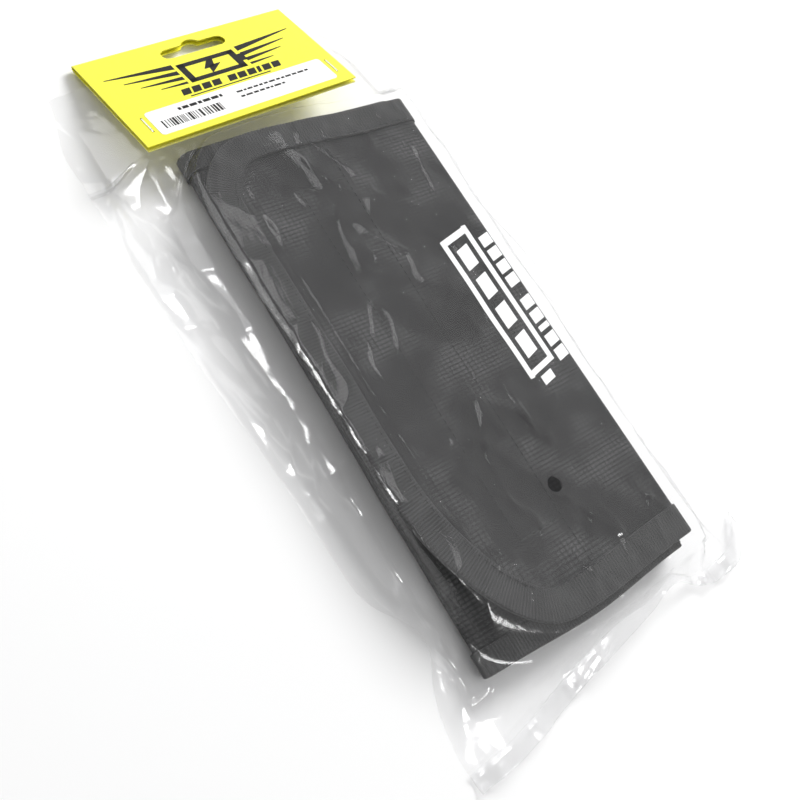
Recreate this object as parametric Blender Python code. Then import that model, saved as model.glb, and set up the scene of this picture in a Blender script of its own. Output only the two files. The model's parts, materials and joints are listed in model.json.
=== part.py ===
"""Battery safety bag in its retail pack.

A flat charging and storage sack of coated glass cloth lies folded, flap side up, in a clear
polybag. A folded header card is stapled over the polybag's neck. Metres, +Z up, +Y towards
the header card, +X towards the fold of the flap. The pack lies on its rear film at z = 0,
and the origin is the middle of its outline at table height.
"""

from math import cos, pi, radians, sin

import bmesh
import bpy
from mathutils import Vector

MM = 0.001

# Driving dimensions, in millimetres until they are scaled by MM.
GAP = 0.3

# Polybag: a lay-flat tube, sealed at the bottom, open at the neck under the header card.
FILM_WIDTH = 160.0
NECK_WIDTH = 150.0
FILM = 0.35
PACK_LENGTH = 326.5
SEAL_WIDTH = 6.0
SEAL_THICKNESS = 0.9
VENT_DIAMETER = 6.5
FILM_SLOPE = 15.0
FILM_END_ROOM = 0.7

# Header card, in its own frame: u runs up the card from the hinge line, n is its normal.
HINGE_FROM_TIP = 60.25
HINGE_HEIGHT = 17.5
HEADER_TILT = 14.3
NECK_START = 1.0
NECK_FILM_END = 48.0
CARD_WIDTH = 105.0
CARD_START = 2.0
CARD_TIP = 62.0
CARD_BOARD = 0.5
CARD_CENTRE_X = -4.5
CARD_FRONT_LEVEL = 0.8
CARD_REAR_LEVEL = -1.3
NECK_FRONT_LEVEL = 0.08
NECK_REAR_LEVEL = -0.58
SLOT_LENGTH = 32.0
SLOT_HEIGHT = 6.6
SLOT_HUMP_RADIUS = 5.0
SLOT_LEVEL = 52.0
LABEL_SIZE = (89.0, 15.5)
LABEL_CENTRE = (-3.7, 13.2)
LABEL_THICKNESS = 0.2
STAPLE_LENGTH = 9.5
STAPLE_WIRE = 0.5
STAPLE_CENTRES = ((-50.3, 14.0), (43.2, 14.0))

# Folded sack, in its own frame: x across the fold, y along it, centred on the pack.
BAG_CENTRE = (3.0, -20.25)
BAG_TURN = -4.5
CLOTH = 1.0
TAPE = 0.5
BODY_HALF_LENGTH = 118.0
BODY_FOLD_X = -51.5
BODY_RIGHT_X = 46.7
FOLD_HEIGHT = 5.85
BACK_FOLD_RADIUS = 1.55
FRONT_FOLD_RADIUS = 3.85
SIDE_TAPE_WIDTH = 9.0
EDGE_TAPE_WIDTH = 10.0

FLAP_HALF_LENGTH = 115.0
FLAP_FREE_X = -58.0
FLAP_LEVEL = 13.4
FLAP_FOLD_X = 50.0
FLAP_TOP_CORNER = (30.0, 30.0)
FLAP_BOTTOM_CORNER = (42.0, 75.0)
FLAP_TAPE_WIDTH = 12.0
FLAP_LIFT = 2.0

HOOK_WIDTH = 25.0
HOOK_LENGTH = 170.0
HOOK_CENTRE_X = -10.0
HOOK_THICKNESS = 0.9
LOOP_THICKNESS = 0.8

THREAD = 0.3
THREAD_WIDTH = 0.6
THREAD_FROM_TAPE_EDGE = 1.5

# Worked out from the driving dimensions.
HINGE_Y = PACK_LENGTH / 2 - HINGE_FROM_TIP
BOTTOM_Y = -PACK_LENGTH / 2
BACK_UPPER_LEVEL = FOLD_HEIGHT + BACK_FOLD_RADIUS
FRONT_UPPER_LEVEL = FOLD_HEIGHT + FRONT_FOLD_RADIUS
FLAP_FOLD_RADIUS = (FLAP_LEVEL - BACK_UPPER_LEVEL) / 2
FLAP_AXIS_HEIGHT = FLAP_LEVEL - FLAP_FOLD_RADIUS
LAYER_MIDDLE = (FRONT_FOLD_RADIUS + BACK_FOLD_RADIUS) / 2
LAYER_HALF_GAP = (FRONT_FOLD_RADIUS - BACK_FOLD_RADIUS) / 2 + CLOTH / 2 + GAP
FLAP_HALF_GAP = CLOTH / 2 + GAP
ARC_STEPS = 8
CORNER_STEPS = 12


def clear_scene():
    for obj in list(bpy.data.objects):
        bpy.data.objects.remove(obj, do_unlink=True)


def make_material(name, colour, roughness, metallic=0.0):
    material = bpy.data.materials.new(name)
    material.use_nodes = True
    shader = material.node_tree.nodes["Principled BSDF"]
    shader.inputs["Base Color"].default_value = (*colour, 1.0)
    shader.inputs["Roughness"].default_value = roughness
    shader.inputs["Metallic"].default_value = metallic
    return material


def make_empty(name, location, rotation=(0.0, 0.0, 0.0), parent=None):
    empty = bpy.data.objects.new(name, None)
    bpy.context.scene.collection.objects.link(empty)
    empty.parent = parent
    empty.location = Vector(location) * MM
    empty.rotation_euler = rotation
    return empty


def make_object(name, points, faces, material=None, parent=None):
    """A closed mesh from points in millimetres and faces by index, turned to face out."""
    mesh = bpy.data.meshes.new(name)
    work = bmesh.new()
    vertices = [work.verts.new(Vector(point) * MM) for point in points]
    for face in faces:
        work.faces.new([vertices[index] for index in face])
    bmesh.ops.recalc_face_normals(work, faces=work.faces)
    work.to_mesh(mesh)
    work.free()
    obj = bpy.data.objects.new(name, mesh)
    bpy.context.scene.collection.objects.link(obj)
    obj.parent = parent
    if material:
        mesh.materials.append(material)
    return obj


def slab(name, top, bottom, material, parent, warped=False):
    """The solid between two grids of points of the same size, in triangles where it warps."""
    rows = len(top)
    columns = len(top[0])
    points = [p for grid in (top, bottom) for row in grid for p in row]
    under = rows * columns
    faces = []
    for i in range(rows - 1):
        for j in range(columns - 1):
            corner = i * columns + j
            quad = (corner, corner + 1, corner + columns + 1, corner + columns)
            cells = [quad[:3], (quad[0], quad[2], quad[3])] if warped else [quad]
            for cell in cells:
                faces.append(cell)
                faces.append([under + index for index in reversed(cell)])
    border = [j for j in range(columns)]
    border += [i * columns + columns - 1 for i in range(1, rows)]
    border += [(rows - 1) * columns + j for j in reversed(range(columns - 1))]
    border += [i * columns for i in reversed(range(1, rows - 1))]
    for here, after in zip(border, border[1:] + border[:1]):
        if warped:
            faces.append((here, after, under + after))
            faces.append((here, under + after, under + here))
        else:
            faces.append((here, after, under + after, under + here))
    return make_object(name, points, faces, material, parent)


def profile_normals(profile):
    normals = []
    for index in range(len(profile)):
        before = Vector(profile[max(index - 1, 0)])
        after = Vector(profile[min(index + 1, len(profile) - 1)])
        run = (after - before).normalized()
        normals.append(Vector((-run.y, run.x)))
    return normals


def panel(name, profile, limits, thickness, material, parent, along="y"):
    """Cloth or board: a centre line drawn in section, as wide as limits say at each point."""
    top, bottom = [], []
    for (a, z), normal, (low, high) in zip(profile, profile_normals(profile), limits):
        for rows, side in ((top, 0.5), (bottom, -0.5)):
            shifted = Vector((a, z)) + normal * thickness * side
            if along == "y":
                rows.append([(shifted.x, low, shifted.y), (shifted.x, high, shifted.y)])
            else:
                rows.append([(low, shifted.x, shifted.y), (high, shifted.x, shifted.y)])
    return slab(name, top, bottom, material, parent)


def box(name, low, high, material, parent):
    top = [[(x, y, high[2]) for x in (low[0], high[0])] for y in (low[1], high[1])]
    bottom = [[(x, y, low[2]) for x in (low[0], high[0])] for y in (low[1], high[1])]
    return slab(name, top, bottom, material, parent)


def channel(name, stations, half_gap, tape, width, material, parent):
    """Binding tape folded over an edge; a station is a point, a way out and a normal."""
    section = [
        (-width, half_gap + tape),
        (GAP + tape, half_gap + tape),
        (GAP + tape, -half_gap - tape),
        (-width, -half_gap - tape),
        (-width, -half_gap),
        (GAP, -half_gap),
        (GAP, half_gap),
        (-width, half_gap),
    ]
    points = []
    for centre, outward, normal in stations:
        for out, lift in section:
            points.append(Vector(centre) + Vector(outward) * out + Vector(normal) * lift)
    size = len(section)
    caps = ((0, 1, 6, 7), (1, 2, 5, 6), (2, 3, 4, 5))
    last = (len(stations) - 1) * size
    faces = [list(cap) for cap in caps]
    faces += [[last + index for index in reversed(cap)] for cap in caps]
    for i in range(len(stations) - 1):
        for j in range(size):
            k = (j + 1) % size
            faces.append((i * size + j, i * size + k, (i + 1) * size + k, (i + 1) * size + j))
    return make_object(name, points, faces, material, parent)


def prism(name, outline, low, high, material=None, parent=None, axis="z"):
    """An outline drawn in a plane and pushed along the axis from low to high."""
    count = len(outline)
    points = []
    for level in (low, high):
        for a, b in outline:
            points.append((a, b, level) if axis == "z" else (level, a, b))
    faces = [list(reversed(range(count))), list(range(count, 2 * count))]
    for i in range(count):
        k = (i + 1) % count
        faces.append((i, k, count + k, count + i))
    return make_object(name, points, faces, material, parent)


def as_cutter(obj):
    obj.hide_render = True
    obj.display_type = "WIRE"
    return obj


def cut(obj, cutter):
    modifier = obj.modifiers.new(cutter.name, "BOOLEAN")
    modifier.operation = "DIFFERENCE"
    modifier.object = cutter


def arc(centre, radius, start, end, steps):
    """Points on an arc, with its two ends, from start to end in degrees."""
    angles = [radians(start + (end - start) * i / steps) for i in range(steps + 1)]
    return [(centre[0] + radius * cos(a), centre[1] + radius * sin(a)) for a in angles]


def smooth(value):
    value = min(max(value, 0.0), 1.0)
    return value * value * (3 - 2 * value)


# ---------------------------------------------------------------- polybag

def to_bag(x, y):
    """A point of the pack's plan in the folded sack's own frame."""
    turned = Vector((x - BAG_CENTRE[0], y - BAG_CENTRE[1]))
    angle = -radians(BAG_TURN)
    return (
        turned.x * cos(angle) - turned.y * sin(angle),
        turned.x * sin(angle) + turned.y * cos(angle),
    )


def front_film_height(x, y):
    """Underside of the front film: a tent over the sack that ends level at the neck."""
    low = FILM + GAP
    slide_room = 6.0
    side_room = 2.0
    top_room = 1.0
    across, along = to_bag(x, y)
    over_x = max(FLAP_FREE_X - side_room - across, across - FLAP_FOLD_X - 6.0, 0.0)
    over_y = max(-BODY_HALF_LENGTH - slide_room - along, along - BODY_HALF_LENGTH, 0.0)
    outside = (over_x ** 2 + over_y ** 2) ** 0.5
    lift = max(FLAP_FOLD_X - across, 0.0) * sin(radians(FLAP_LIFT))
    crest = FLAP_LEVEL + FLAP_HALF_GAP + TAPE + top_room
    crest += min(lift, (FLAP_FOLD_X - FLAP_FREE_X) * sin(radians(FLAP_LIFT)))
    tent = crest + (low - crest) * smooth(outside / FILM_SLOPE)
    neck = HINGE_HEIGHT - GAP
    end = HINGE_Y - FILM_END_ROOM
    long_run = 32.0
    short_run = 9.0
    ramp = low + (neck - low) * smooth((y - end) / long_run + 1)
    height = max(tent, ramp)
    return height + (neck - height) * smooth((y - end) / short_run + 1)


def build_polybag(film):
    half = FILM_WIDTH / 2
    body_end = HINGE_Y - FILM_END_ROOM
    seal_top = BOTTOM_Y + SEAL_WIDTH
    box("polybag_rear_film", (-half, seal_top + GAP, 0.0), (half, body_end - 0.4, FILM),
        film, None)
    box("polybag_bottom_seal", (-half, BOTTOM_Y, 0.0), (half, seal_top, SEAL_THICKNESS),
        film, None)

    rows, columns = 34, 24
    top, bottom = [], []
    for i in range(rows + 1):
        y = seal_top + GAP + (body_end - seal_top - GAP) * i / rows
        taper = smooth((y - (body_end - 30.0)) / 30.0)
        reach = half + (NECK_WIDTH / 2 - half) * taper
        xs = [-reach + 2 * reach * j / columns for j in range(columns + 1)]
        heights = [front_film_height(x, y) for x in xs]
        bottom.append([(x, y, z) for x, z in zip(xs, heights)])
        top.append([(x, y, z + FILM) for x, z in zip(xs, heights)])
    front = slab("polybag_front_film", top, bottom, film, None, warped=True)
    vent_x, vent_y = 2.2, -92.2
    ring = arc((vent_x, vent_y), VENT_DIAMETER / 2, 0, 360 - 360 / 24, 23)
    cut(front, as_cutter(prism("vent_cutter", ring, 5.0, 30.0)))

    shoulder = [(HINGE_Y - 0.2, 1.0), (HINGE_Y + 0.4, 8.0), (HINGE_Y + 0.8, 15.3)]
    limits = [(-half, half), (-half + 2, half - 2), (-NECK_WIDTH / 2, NECK_WIDTH / 2)]
    panel("polybag_shoulder_film", shoulder, limits, FILM, film, None, along="x")


# ---------------------------------------------------------------- header

def slot_outline():
    """A hanging slot: a bar with round ends and a hump over its middle."""
    end = SLOT_HEIGHT / 2
    reach = SLOT_LENGTH / 2 - end
    centre = CARD_CENTRE_X
    hump_level = SLOT_LEVEL + 1.0
    hump_angle = 20.0
    points = arc((centre + reach, SLOT_LEVEL), end, -90, 90, ARC_STEPS)
    points += arc((centre, hump_level), SLOT_HUMP_RADIUS, hump_angle + 8, 172 - hump_angle,
                  ARC_STEPS)
    points += arc((centre - reach, SLOT_LEVEL), end, 90, 270, ARC_STEPS)
    return points


def staple_outline(centre_u):
    """Side view of a closed staple: crown on the card, legs through it, tips folded in."""
    half = STAPLE_LENGTH / 2
    crown_top = CARD_FRONT_LEVEL + CARD_BOARD / 2 + GAP + STAPLE_WIRE
    tip_low = CARD_REAR_LEVEL - CARD_BOARD / 2 - GAP - STAPLE_WIRE
    tip_gap = 0.8
    left = [
        (-half, crown_top),
        (-half, tip_low),
        (-tip_gap, tip_low),
        (-tip_gap, tip_low + STAPLE_WIRE),
        (-half + STAPLE_WIRE, tip_low + STAPLE_WIRE),
        (-half + STAPLE_WIRE, crown_top - STAPLE_WIRE),
    ]
    right = [(-u, n) for u, n in reversed(left)]
    return [(centre_u + u, n) for u, n in left + right]


def leg_cutter(name, x, u, header):
    reach = STAPLE_WIRE / 2 + GAP
    return as_cutter(box(name, (x - reach, u - reach, -5.0), (x + reach, u + reach, 5.0),
                         None, header))


def build_header(film, card, label, steel):
    header = make_empty("header_hinge", (0.0, HINGE_Y, HINGE_HEIGHT),
                        (-radians(HEADER_TILT), 0.0, 0.0))
    half = NECK_WIDTH / 2
    sheets = []
    for name, level in (("polybag_neck_front_film", NECK_FRONT_LEVEL),
                        ("polybag_neck_rear_film", NECK_REAR_LEVEL)):
        sheets.append(box(name, (-half, NECK_START, level - FILM / 2),
                          (half, NECK_FILM_END, level + FILM / 2), film, header))

    fold_radius = (CARD_FRONT_LEVEL - CARD_REAR_LEVEL) / 2
    fold_centre = (CARD_TIP - fold_radius, CARD_REAR_LEVEL + fold_radius)
    line = [(CARD_START, CARD_REAR_LEVEL)]
    line += arc(fold_centre, fold_radius, -90, 90, ARC_STEPS)
    line += [(CARD_START, CARD_FRONT_LEVEL)]
    sides = (CARD_CENTRE_X - CARD_WIDTH / 2, CARD_CENTRE_X + CARD_WIDTH / 2)
    board = panel("header_card", line, [sides] * len(line), CARD_BOARD, card, header, "x")
    cut(board, as_cutter(prism("slot_cutter", slot_outline(), -5.0, 5.0, None, header)))
    sheets.append(board)

    label_low = CARD_FRONT_LEVEL + CARD_BOARD / 2 + GAP
    corner = 2.0
    reach = (LABEL_SIZE[0] / 2 - corner, LABEL_SIZE[1] / 2 - corner)
    outline = []
    for sx, sy, start in ((1, -1, -90), (1, 1, 0), (-1, 1, 90), (-1, -1, 180)):
        centre = (LABEL_CENTRE[0] + sx * reach[0], LABEL_CENTRE[1] + sy * reach[1])
        outline += arc(centre, corner, start, start + 90, 4)
    prism("barcode_label", outline, label_low, label_low + LABEL_THICKNESS, label, header)

    for side, (x, u) in zip(("left", "right"), STAPLE_CENTRES):
        prism("staple_" + side, staple_outline(u), x - STAPLE_WIRE / 2, x + STAPLE_WIRE / 2,
              steel, header, axis="x")
        for end in (-1, 1):
            leg = u + end * (STAPLE_LENGTH / 2 - STAPLE_WIRE / 2)
            cutter = leg_cutter("leg_cutter_%s_%d" % (side, end), x, leg, header)
            for sheet in sheets:
                cut(sheet, cutter)


# ---------------------------------------------------------------- folded sack

def fold_profile(radius, start_x, end_x):
    """A panel's centre line: along the top, round the left fold and back underneath."""
    bend = arc((BODY_FOLD_X, FOLD_HEIGHT), radius, 90, 270, ARC_STEPS)
    return [(start_x, FOLD_HEIGHT + radius)] + bend + [(end_x, FOLD_HEIGHT - radius)]


def side_stations(side, right_x, lower_x):
    """Stations of the tape round both cloth layers, along one end of the sack's body."""
    stations = []
    edge = BODY_HALF_LENGTH - TAPE - GAP
    line = fold_profile(LAYER_MIDDLE, right_x, lower_x)
    for (x, z), normal in zip(line, profile_normals(line)):
        stations.append(((x, side * edge, z), (0, side, 0), (normal.x, 0, normal.y)))
    return stations


def flap_corner_line(side, inset):
    """Points and ways out round one rounded corner of the flap, from its end to its free edge."""
    across, along = FLAP_TOP_CORNER if side > 0 else FLAP_BOTTOM_CORNER
    line = []
    for i in range(CORNER_STEPS + 1):
        angle = radians(90 + 90 * i / CORNER_STEPS)
        out = Vector((cos(angle) / across, side * sin(angle) / along)).normalized()
        x = FLAP_FREE_X + across + across * cos(angle) - inset * out.x
        y = side * (FLAP_HALF_LENGTH - along + along * sin(angle)) - inset * out.y
        line.append(((x, y), out))
    return line


def flap_reach(side, x, inset):
    """Where the flap's edge runs, drawn inset, at a place across it."""
    across, along = FLAP_TOP_CORNER if side > 0 else FLAP_BOTTOM_CORNER
    share = min(max((FLAP_FREE_X + across - x) / (across - inset), 0.0), 1.0)
    return side * (FLAP_HALF_LENGTH - along + (along - inset) * (1 - share ** 2) ** 0.5)


def flap_edge_stations():
    """Stations of the flap's tape: round the fold, along both ends and the free edge."""
    inset = TAPE + GAP
    edge = FLAP_HALF_LENGTH - inset
    halves = []
    for side in (1, -1):
        stations = []
        for i in range(ARC_STEPS + 1):
            angle = radians(-90 + 180 * i / ARC_STEPS)
            x = FLAP_FOLD_X + FLAP_FOLD_RADIUS * cos(angle)
            z = FLAP_AXIS_HEIGHT + FLAP_FOLD_RADIUS * sin(angle)
            stations.append(((x, side * edge, z), (0, side, 0), (cos(angle), 0, sin(angle))))
        for (x, y), out in flap_corner_line(side, inset):
            stations.append(((x, y, FLAP_LEVEL), (out.x, out.y, 0), (0, 0, 1)))
        halves.append(stations)
    return halves[0] + halves[1][::-1]


def build_body(cloth, tape, parent):
    edge = BODY_HALF_LENGTH - TAPE - GAP
    fronts = fold_profile(FRONT_FOLD_RADIUS, BODY_RIGHT_X, BODY_RIGHT_X)
    backs = fold_profile(BACK_FOLD_RADIUS, FLAP_FOLD_X - 0.6, BODY_RIGHT_X)
    for name, line in (("front_panel", fronts), ("back_panel", backs)):
        panel(name, line, [(-edge, edge)] * len(line), CLOTH, cloth, parent)

    tape_end = BODY_RIGHT_X - 0.7
    for name, side in (("side_binding_top", 1), ("side_binding_bottom", -1)):
        channel(name, side_stations(side, tape_end, tape_end), LAYER_HALF_GAP, TAPE,
                SIDE_TAPE_WIDTH, tape, parent)

    reach = BODY_HALF_LENGTH - TAPE - GAP - SIDE_TAPE_WIDTH - 1.0
    mouth = [((BODY_RIGHT_X, y, FRONT_UPPER_LEVEL), (1, 0, 0), (0, 0, 1))
             for y in (-reach, reach)]
    channel("mouth_binding", mouth, FLAP_HALF_GAP, TAPE, EDGE_TAPE_WIDTH, tape, parent)
    base = [((BODY_RIGHT_X, y, FOLD_HEIGHT - LAYER_MIDDLE), (1, 0, 0), (0, 0, 1))
            for y in (-reach, reach)]
    channel("base_binding", base, LAYER_HALF_GAP, TAPE, EDGE_TAPE_WIDTH, tape, parent)


def build_flap(cloth, tape, hinge):
    """The flap, drawn about its hinge line, which is the middle of its fold."""
    shift = Vector((-FLAP_FOLD_X, 0.0, -FLAP_AXIS_HEIGHT))
    inset = TAPE + GAP
    edge = FLAP_HALF_LENGTH - inset
    line = arc((0.0, 0.0), FLAP_FOLD_RADIUS, -90, 90, ARC_STEPS)
    limits = [(-edge, edge)] * len(line)
    for (x, _), _ in flap_corner_line(-1, inset):
        line.append((x + shift.x, FLAP_LEVEL + shift.z))
        limits.append((flap_reach(-1, x, inset), flap_reach(1, x, inset)))
    panel("flap_panel", line, limits, CLOTH, cloth, hinge)

    stations = [(tuple(Vector(place) + shift), out, normal)
                for place, out, normal in flap_edge_stations()]
    channel("flap_binding", stations, FLAP_HALF_GAP, TAPE, FLAP_TAPE_WIDTH, tape, hinge)


def seam(name, path, low, material, parent):
    """A row of stitches as one thin ridge along a path drawn in plan."""
    top, bottom = [], []
    for point, normal in zip(path, profile_normals(path)):
        sides = [Vector(point) + normal * THREAD_WIDTH * side for side in (-0.5, 0.5)]
        top.append([(side.x, side.y, low + THREAD) for side in sides])
        bottom.append([(side.x, side.y, low) for side in sides])
    slab(name, top, bottom, material, parent)


def build_stitching(thread, hinge):
    """The seam that holds the flap's tape, and the one round the hook tape below it."""
    inset = TAPE + GAP + FLAP_TAPE_WIDTH - THREAD_FROM_TAPE_EDGE
    halves = []
    for side in (1, -1):
        halves.append([(0.0, side * (FLAP_HALF_LENGTH - inset))])
        halves[-1] += [(x - FLAP_FOLD_X, y) for (x, y), _ in flap_corner_line(side, inset)]
    path = halves[0] + halves[1][::-1]
    low = FLAP_LEVEL + FLAP_HALF_GAP + TAPE + GAP - FLAP_AXIS_HEIGHT
    seam("flap_binding_stitching", path, low, thread, hinge)

    reach = (HOOK_WIDTH / 2 - THREAD_FROM_TAPE_EDGE, HOOK_LENGTH / 2 - THREAD_FROM_TAPE_EDGE)
    x = HOOK_CENTRE_X - FLAP_FOLD_X
    turn = 2.0
    corners = []
    for sx, sy, start in ((1, 1, 90), (1, -1, 0), (-1, -1, -90), (-1, 1, -180)):
        centre = (x + sx * (reach[0] - turn), sy * (reach[1] - turn))
        corners += arc(centre, turn, start, start - 90, 3)
    corners.append((corners[0][0] - 2 * THREAD_WIDTH, corners[0][1]))
    low = FLAP_LEVEL + CLOTH / 2 + GAP - FLAP_AXIS_HEIGHT
    seam("closure_stitching", corners, low, thread, hinge)


def build_closure(hook, loop, bag, hinge):
    """Hook tape under the flap and loop tape on the front panel, face to face."""
    reach = (HOOK_WIDTH / 2, HOOK_LENGTH / 2)
    hook_top = FLAP_LEVEL - CLOTH / 2 - GAP - FLAP_AXIS_HEIGHT
    x = HOOK_CENTRE_X - FLAP_FOLD_X
    box("flap_hook_strip", (x - reach[0], -reach[1], hook_top - HOOK_THICKNESS),
        (x + reach[0], reach[1], hook_top), hook, hinge)
    loop_low = FRONT_UPPER_LEVEL + CLOTH / 2 + GAP
    x = HOOK_CENTRE_X
    box("front_loop_strip", (x - reach[0], -reach[1], loop_low),
        (x + reach[0], reach[1], loop_low + LOOP_THICKNESS), loop, bag)


def build():
    clear_scene()
    film = make_material("clear_film", (0.85, 0.87, 0.88), 0.12)
    card = make_material("yellow_board", (0.98, 0.96, 0.09), 0.4)
    label = make_material("label_paper", (0.95, 0.95, 0.93), 0.5)
    steel = make_material("staple_wire", (0.7, 0.7, 0.7), 0.25, 1.0)
    cloth = make_material("coated_cloth", (0.03, 0.03, 0.032), 0.6)
    tape = make_material("ribbed_tape", (0.02, 0.02, 0.021), 0.8)
    hook = make_material("hook_tape", (0.015, 0.015, 0.015), 0.9)
    loop = make_material("loop_tape", (0.025, 0.025, 0.025), 0.95)
    thread = make_material("sewing_thread", (0.01, 0.01, 0.01), 0.7)

    build_polybag(film)
    build_header(film, card, label, steel)
    bag = make_empty("folded_sack", (*BAG_CENTRE, 0.0), (0.0, 0.0, radians(BAG_TURN)))
    hinge = make_empty("flap_hinge", (FLAP_FOLD_X, 0.0, FLAP_AXIS_HEIGHT), parent=bag)
    build_body(cloth, tape, bag)
    build_flap(cloth, tape, hinge)
    build_closure(hook, loop, bag, hinge)
    build_stitching(thread, hinge)


build()
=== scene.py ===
"""Looks of a folded battery safety bag in its retail pack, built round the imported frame.

Lengths are millimetres until a mesh is made. The sack's own frame has x across the flap's
fold, y along it and z up. The header card's own frame has x across, u up the card from the
hinge line and n along its normal.
"""

import json
from math import cos, pi, radians, sin

import bmesh
import bpy
import numpy as np
from mathutils import Matrix, Vector


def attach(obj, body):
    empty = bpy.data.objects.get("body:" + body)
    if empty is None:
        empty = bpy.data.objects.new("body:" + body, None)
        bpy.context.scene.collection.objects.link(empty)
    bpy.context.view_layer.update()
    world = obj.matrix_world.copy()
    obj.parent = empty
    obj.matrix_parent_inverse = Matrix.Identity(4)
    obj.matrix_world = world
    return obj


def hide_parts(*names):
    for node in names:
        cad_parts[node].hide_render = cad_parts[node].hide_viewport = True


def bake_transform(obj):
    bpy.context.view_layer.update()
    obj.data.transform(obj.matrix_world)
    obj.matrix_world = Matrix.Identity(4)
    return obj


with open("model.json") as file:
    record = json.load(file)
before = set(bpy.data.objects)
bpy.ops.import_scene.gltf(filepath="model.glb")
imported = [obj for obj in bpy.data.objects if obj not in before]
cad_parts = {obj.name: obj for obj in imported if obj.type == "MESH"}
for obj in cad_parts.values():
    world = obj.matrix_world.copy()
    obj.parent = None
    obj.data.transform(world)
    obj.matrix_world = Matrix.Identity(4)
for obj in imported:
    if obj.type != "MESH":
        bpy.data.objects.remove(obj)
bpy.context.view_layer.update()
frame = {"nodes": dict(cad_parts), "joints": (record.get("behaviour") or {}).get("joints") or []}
MM = 0.001

# ---------------------------------------------------------------- dimensions

# The same sizes as the CAD source, in the two frames above. A corner is given as its reach
# across and along the flap, at the top end (1) and at the bottom end (-1). A half gap is half
# of what a tape leaves open inside it, for two layers of cloth or for one.
FLAP_FOLD_X = 50.0
FLAP_FREE_X = -58.0
FLAP_HALF_LENGTH = 115.0
FLAP_LEVEL = 13.4
FLAP_CORNERS = {1: (30.0, 30.0), -1: (42.0, 75.0)}
FLAP_LIFT = radians(2.0)
FLAP_TAPE_WIDTH = 12.0
BODY_HALF_LENGTH = 118.0
BODY_FOLD_X = -51.5
BODY_RIGHT_X = 46.7
FOLD_HEIGHT = 5.85
BACK_RADIUS = 1.55
FRONT_RADIUS = 3.85
FLAP_FOLD_RADIUS = (FLAP_LEVEL - FOLD_HEIGHT - BACK_RADIUS) / 2
FLAP_AXIS_HEIGHT = FLAP_LEVEL - FLAP_FOLD_RADIUS
LAYER_MIDDLE = (FRONT_RADIUS + BACK_RADIUS) / 2
LAYER_HALF_GAP = 1.95
EDGE_HALF_GAP = 0.8
SIDE_TAPE_WIDTH = 9.0
EDGE_TAPE_WIDTH = 10.0
CARD_MIDDLE = -4.5
CARD_FRONT = 1.05
CARD_REAR = -1.55
NECK_FRONT = 0.08
NECK_REAR = -0.58
NECK_END = 48.0
FILM_BOTTOM = -163.2
VENT = (2.2, -92.2)
VENT_RADIUS = 3.25
HINGE_TILT = radians(14.3)
LABEL_CENTRE = (-3.7, 13.2)
STAPLES = {"left": (-50.3, 14.0), "right": (43.2, 14.0)}

# Visual detail of the cloth, tapes and threads. A tape's nose stands past the line that it is
# swept along, and the sack's bowed ends start at BOW_START along it.
CLOTH = 0.8
CLOTH_INSET = 1.2
TAPE = 0.7
TAPE_NOSE = 0.8
RIB_PITCH = 1.4
RIB_HEIGHT = 0.24
STITCH = 2.7
STITCH_GAP = 0.7
THREAD = 0.26
WEAVE = (2.3, 1.8)
BOW_START = 92.0
BOW_RUN = 24.0
BOW_WIDTH = 34.0

# The front film: its sides, its height on the ground, over the flap and over the layers that
# the flap leaves bare, and how far above the ground the rear film lies.
FILM_LEFT = -83.0
FILM_RIGHT = 80.0
FILM_LOW = 0.65
FILM_CREST = 16.2
FILM_LOWER_CREST = 12.3
REAR_LEVEL = 0.2

# How many cells a table of noise has each way.
CELLS = 89

UP = np.array([0.0, 0.0, 1.0])

joints = {joint["name"]: joint for joint in frame["joints"]}
header_hinge = np.array(joints["header_flex"]["pos_m"]) / MM
flap_hinge = np.array(joints["flap_lift"]["pos_m"]) / MM
along = np.array(joints["flap_lift"]["axis"])
along = along / np.linalg.norm(along)
across = np.array([along[1], -along[0], 0.0])


# ---------------------------------------------------------------- frames and numbers

def stack(*parts):
    return np.stack(np.broadcast_arrays(*parts), axis=-1).astype(float)


def unit(vectors):
    return vectors / np.maximum(np.linalg.norm(vectors, axis=-1, keepdims=True), 1e-9)


def slump(x, y):
    """What the sack's bowed ends take off y: each stands out most near its middle."""
    bottom = 3.0 * hill((x + 4) / BOW_WIDTH) * ease((-y - BOW_START) / BOW_RUN)
    top = 2.0 * hill((x + 22) / BOW_WIDTH) * ease((y - BOW_START) / BOW_RUN)
    return bottom - top


def from_sack(x, y, z):
    """World points of places in the sack's frame, with its ends bowed."""
    base = stack(flap_hinge[0], flap_hinge[1], 0.0)
    x, y, z = np.broadcast_arrays(x, y, z)
    y = y - slump(x, y)
    flat = (x - FLAP_FOLD_X)[..., None] * across + y[..., None] * along
    return base + flat + z[..., None] * UP


def to_sack(x, y):
    """The sack's own x and y at a place of the world's plan."""
    dx, dy = x - flap_hinge[0], y - flap_hinge[1]
    own_x = dx * across[0] + dy * across[1] + FLAP_FOLD_X
    unbowed = dx * along[0] + dy * along[1]
    own_y = unbowed
    for _ in range(4):
        own_y = unbowed + slump(own_x, own_y)
    return own_x, own_y


def from_header(x, u, n):
    """World points of places in the header card's frame."""
    y = header_hinge[1] + u * cos(HINGE_TILT) + n * sin(HINGE_TILT)
    z = header_hinge[2] - u * sin(HINGE_TILT) + n * cos(HINGE_TILT)
    return stack(x, y, z)


def ease(value):
    value = np.clip(value, 0.0, 1.0)
    return value * value * (3 - 2 * value)


def hill(value):
    return np.exp(-np.square(value))


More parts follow.
